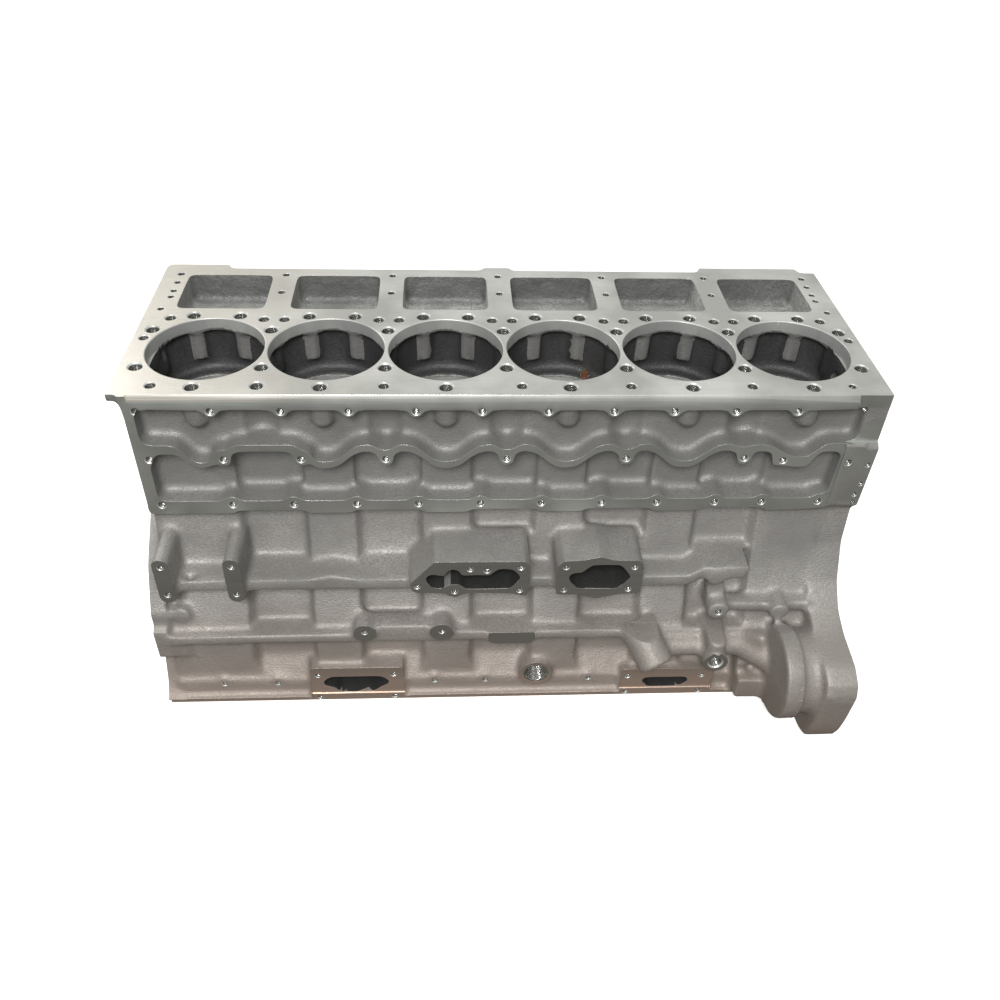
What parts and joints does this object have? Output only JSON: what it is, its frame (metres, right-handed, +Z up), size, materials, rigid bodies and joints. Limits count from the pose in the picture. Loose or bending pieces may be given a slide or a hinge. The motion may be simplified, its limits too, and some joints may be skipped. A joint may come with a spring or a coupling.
{
  "type": "engine block",
  "caption": "Bare cast-iron cylinder block of an in-line diesel engine, with milled deck, liner bores, manifold face, ribbed skirt and main bearing caps.",
  "frame": {"origin": "centre of the oil pan rail's bolt pattern, in the rail's plane", "axes": "+X along the crankshaft to the coolant pump end, +Y from the manifold side to the back, +Z up the cylinders to the deck"},
  "size_m": [0.964, 0.499, 0.49],
  "materials": {
    "cast_iron": "as-cast grey iron with milled faces",
    "cap_iron": "milled grey iron",
    "bearing_bronze": "bored bronze",
    "bolt_steel": "oiled black steel",
    "plug_steel": "pressed steel",
    "copper": "copper-coloured metal"
  },
  "bodies": {
    "root": {"block_casting": "cast_iron", "main_cap_1": "cap_iron", "main_cap_2": "cap_iron", "main_cap_3": "cap_iron", "main_cap_4": "cap_iron", "main_cap_5": "cap_iron", "main_cap_6": "cap_iron", "main_cap_7": "cap_iron", "cam_bushing_1": "bearing_bronze", "cam_bushing_2": "bearing_bronze", "cam_bushing_3": "bearing_bronze", "cam_bushing_4": "bearing_bronze", "cam_bushing_5": "bearing_bronze", "cam_bushing_6": "bearing_bronze", "cam_bushing_7": "bearing_bronze", "main_cap_bolts": "bolt_steel", "core_plugs": "plug_steel", "cam_end_plug": "plug_steel", "gallery_plugs": "plug_steel", "end_dowels": "bolt_steel", "jacket_plug": "copper"}
  },
  "joints": []
}
